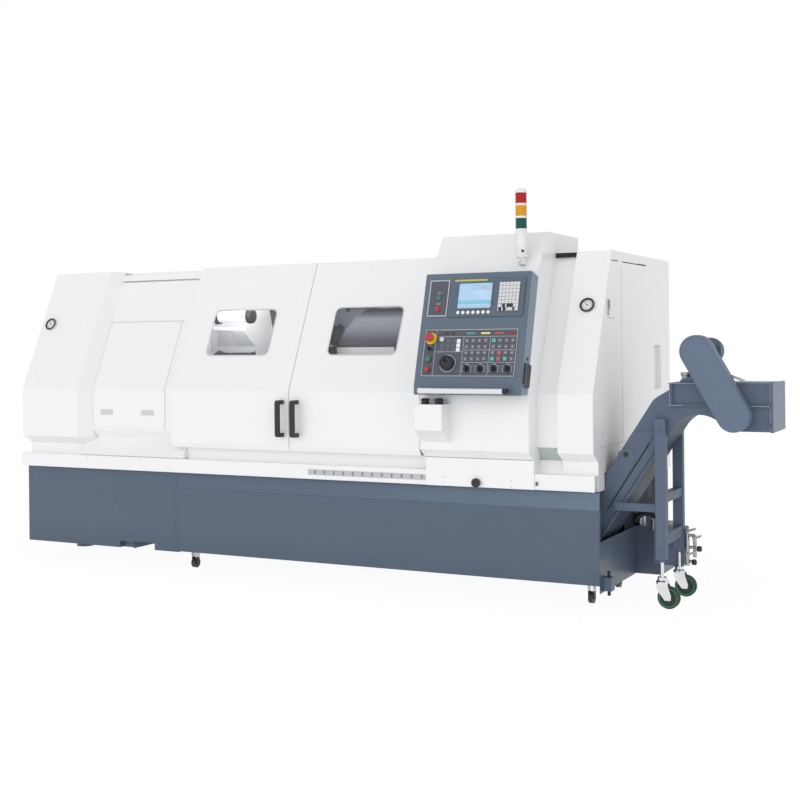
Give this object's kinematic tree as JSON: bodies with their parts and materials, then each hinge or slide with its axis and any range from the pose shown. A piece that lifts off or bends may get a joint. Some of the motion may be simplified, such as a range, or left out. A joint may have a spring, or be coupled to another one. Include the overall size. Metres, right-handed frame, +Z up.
{
  "type": "turning lathe",
  "caption": "Enclosed slant-bed turning lathe with sliding doors, leaning control station, signal tower and a chip conveyor on casters.",
  "frame": {"origin": "middle of the whole machine's footprint, on the floor", "axes": "+X to the right along the bed towards the conveyor, +Y from the operator to the rear, +Z up"},
  "size_m": [4.429, 1.5998, 2.031],
  "materials": {
    "white_paint": "satin white enamel",
    "grey_paint": "satin blue-grey enamel",
    "station_paint": "satin dark blue-grey enamel",
    "cast_iron": "machined and painted casting",
    "steel": "ground steel",
    "chrome": "bright plated",
    "black_plastic": "moulded black",
    "rubber": "black tread",
    "window_glass": "laminated clear",
    "key_plastic": "fine matt",
    "aluminium": "anodised",
    "green_lens": "translucent green",
    "amber_lens": "translucent amber",
    "red_lens": "translucent red",
    "lamp_glass": "clear lamp tube",
    "green_plastic": "gloss green",
    "red_plastic": "gloss red"
  },
  "bodies": {
    "machine": {"base_casting": "grey_paint", "levelling_feet": "cast_iron", "coolant_tank": "grey_paint", "tank_casters": "chrome", "lower_skirt": "white_paint", "left_end_cover": "white_paint", "right_end_cover": "white_paint", "rear_cover": "white_paint", "door_rail": "steel", "headstock_cover": "white_paint", "access_panel": "white_paint", "pendant_cabinet": "white_paint", "headstock": "grey_paint", "work_light": "lamp_glass", "air_gauges": "chrome", "skirt_knob": "black_plastic", "tower_stand": "white_paint", "tower_green_lens": "green_lens", "tower_amber_lens": "amber_lens", "tower_red_lens": "red_lens", "pendant_body": "station_paint", "display_unit": "station_paint", "keypad": "key_plastic", "operator_panel": "station_paint", "panel_keys": "key_plastic", "grab_bar": "aluminium", "cable_glands": "black_plastic", "conveyor_trough": "grey_paint", "drive_guard": "grey_paint", "gearmotor": "grey_paint", "conveyor_stand": "grey_paint"},
    "left_door": {"left_door": "white_paint", "left_window_pane": "window_glass", "left_door_handle": "black_plastic"},
    "right_door": {"right_door": "white_paint", "right_window_pane": "window_glass", "right_door_handle": "black_plastic"},
    "spindle": {"chuck": "steel", "chuck_jaws": "steel"},
    "saddle": {"saddle": "cast_iron"},
    "turret_slide": {"turret_slide": "cast_iron"},
    "turret": {"turret_disc": "steel"},
    "tailstock": {"tailstock": "grey_paint"},
    "quill": {"quill": "steel"},
    "power_on_button": {"power_on_button": "green_plastic"},
    "power_off_button": {"power_off_button": "red_plastic"},
    "cycle_start_button": {"cycle_start_button": "green_plastic"},
    "feed_hold_button": {"feed_hold_button": "red_plastic"},
    "emergency_stop": {"emergency_stop": "red_plastic"},
    "key_switch": {"key_switch": "chrome"},
    "mode_switch": {"mode_switch": "black_plastic"},
    "feed_switch": {"feed_switch": "black_plastic"},
    "rapid_switch": {"rapid_switch": "black_plastic"},
    "speed_switch": {"speed_switch": "black_plastic"},
    "pulse_handwheel": {"pulse_handwheel": "black_plastic"},
    "near_caster_fork": {"near_caster_fork": "chrome"},
    "far_caster_fork": {"far_caster_fork": "chrome"},
    "near_caster_wheel": {"near_caster_wheel": "rubber"},
    "far_caster_wheel": {"far_caster_wheel": "rubber"}
  },
  "joints": [
    {"name": "left_door_slide", "type": "slide", "parent": "machine", "child": "left_door", "axis": [-1, 0, 0], "range_m": [0, 0.56]},
    {"name": "right_door_slide", "type": "slide", "parent": "machine", "child": "right_door", "axis": [1, 0, 0], "range_m": [0, 0.56]},
    {"name": "spindle_spin", "type": "hinge", "parent": "machine", "child": "spindle", "pos_m": [-1.0195, -0.11444, 1.13034], "axis": [1, 0, 0], "continuous": true},
    {"name": "saddle_slide", "type": "slide", "parent": "machine", "child": "saddle", "axis": [1, 0, 0], "range_m": [-0.12, 1.1]},
    {"name": "cross_slide", "type": "slide", "parent": "saddle", "child": "turret_slide", "axis": [0, 0.7071, 0.7071], "range_m": [-0.18, 0.05]},
    {"name": "turret_index", "type": "hinge", "parent": "turret_slide", "child": "turret", "pos_m": [-0.5895, 0.16841, 1.41319], "axis": [1, 0, 0], "continuous": true},
    {"name": "tailstock_slide", "type": "slide", "parent": "machine", "child": "tailstock", "axis": [1, 0, 0], "range_m": [-0.08, 1]},
    {"name": "quill_slide", "type": "slide", "parent": "tailstock", "child": "quill", "axis": [-1, 0, 0], "range_m": [0, 0.15]},
    {"name": "power_on_press", "type": "slide", "parent": "machine", "child": "power_on_button", "axis": [0, 0.9598, -0.2807], "range_m": [0, 0.005], "stiffness_N_per_m": 300, "springref_m": -0.004},
    {"name": "power_off_press", "type": "slide", "parent": "machine", "child": "power_off_button", "axis": [0, 0.9598, -0.2807], "range_m": [0, 0.005], "stiffness_N_per_m": 300, "springref_m": -0.004},
    {"name": "cycle_start_press", "type": "slide", "parent": "machine", "child": "cycle_start_button", "axis": [0, 0.9598, -0.2807], "range_m": [0, 0.005], "stiffness_N_per_m": 300, "springref_m": -0.004},
    {"name": "feed_hold_press", "type": "slide", "parent": "machine", "child": "feed_hold_button", "axis": [0, 0.9598, -0.2807], "range_m": [0, 0.005], "stiffness_N_per_m": 300, "springref_m": -0.004},
    {"name": "emergency_stop_press", "type": "slide", "parent": "machine", "child": "emergency_stop", "axis": [0, 0.9598, -0.2807], "range_m": [0, 0.004], "stiffness_N_per_m": 800, "springref_m": -0.003},
    {"name": "key_turn", "type": "hinge", "parent": "machine", "child": "key_switch", "pos_m": [0.6115, -0.69956, 1.23916], "axis": [0, -0.9598, 0.2807], "range_deg": [-90, 0]},
    {"name": "mode_turn", "type": "hinge", "parent": "machine", "child": "mode_switch", "pos_m": [0.8205, -0.72791, 1.14222], "axis": [0, -0.9598, 0.2807], "range_deg": [-120, 120]},
    {"name": "feed_turn", "type": "hinge", "parent": "machine", "child": "feed_switch", "pos_m": [0.8915, -0.72791, 1.14222], "axis": [0, -0.9598, 0.2807], "range_deg": [-120, 120]},
    {"name": "rapid_turn", "type": "hinge", "parent": "machine", "child": "rapid_switch", "pos_m": [0.9625, -0.72791, 1.14222], "axis": [0, -0.9598, 0.2807], "range_deg": [-120, 120]},
    {"name": "speed_turn", "type": "hinge", "parent": "machine", "child": "speed_switch", "pos_m": [1.0335, -0.72791, 1.14222], "axis": [0, -0.9598, 0.2807], "range_deg": [-120, 120]},
    {"name": "handwheel_spin", "type": "hinge", "parent": "machine", "child": "pulse_handwheel", "pos_m": [0.7155, -0.72005, 1.1691], "axis": [0, -0.9598, 0.2807], "continuous": true},
    {"name": "near_caster_swivel", "type": "hinge", "parent": "machine", "child": "near_caster_fork", "pos_m": [1.6925, -0.42839, 0.15], "axis": [0, 0, 1], "continuous": true},
    {"name": "near_wheel_spin", "type": "hinge", "parent": "near_caster_fork", "child": "near_caster_wheel", "pos_m": [1.7245, -0.42839, 0.053], "axis": [0, 1, 0], "continuous": true},
    {"name": "far_caster_swivel", "type": "hinge", "parent": "machine", "child": "far_caster_fork", "pos_m": [1.6925, -0.10979, 0.15], "axis": [0, 0, 1], "continuous": true},
    {"name": "far_wheel_spin", "type": "hinge", "parent": "far_caster_fork", "child": "far_caster_wheel", "pos_m": [1.7245, -0.10979, 0.053], "axis": [0, 1, 0], "continuous": true}
  ]
}
